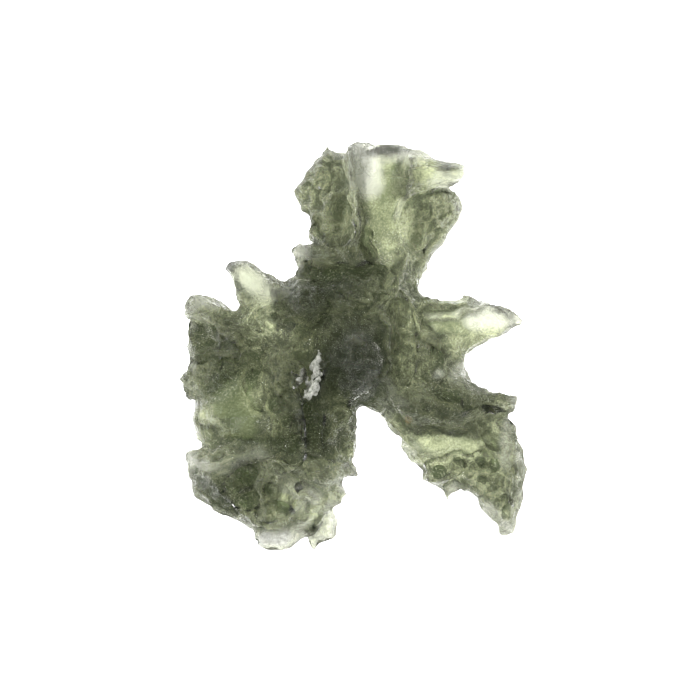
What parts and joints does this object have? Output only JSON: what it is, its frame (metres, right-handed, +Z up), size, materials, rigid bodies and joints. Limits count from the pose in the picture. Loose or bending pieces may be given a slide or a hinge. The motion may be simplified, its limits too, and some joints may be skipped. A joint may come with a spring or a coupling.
{
  "type": "moldavite",
  "caption": "Natural green glass stone, etched into lobes of thin fins, ridges and spikes, lying flat on worn tips.",
  "frame": {"origin": "middle of the stone in plan, on the surface it lies on", "axes": "+Z up out of the side it is looked at from, +Y along its longest measure towards the lobe with the smooth channel, +X towards the pale spike"},
  "size_m": [0.0242, 0.028, 0.0092],
  "materials": {
    "green_glass": "clear bottle-green natural glass, finely etched, paler where it is thin"
  },
  "bodies": {
    "root": {"moldavite": "green_glass"}
  },
  "joints": []
}
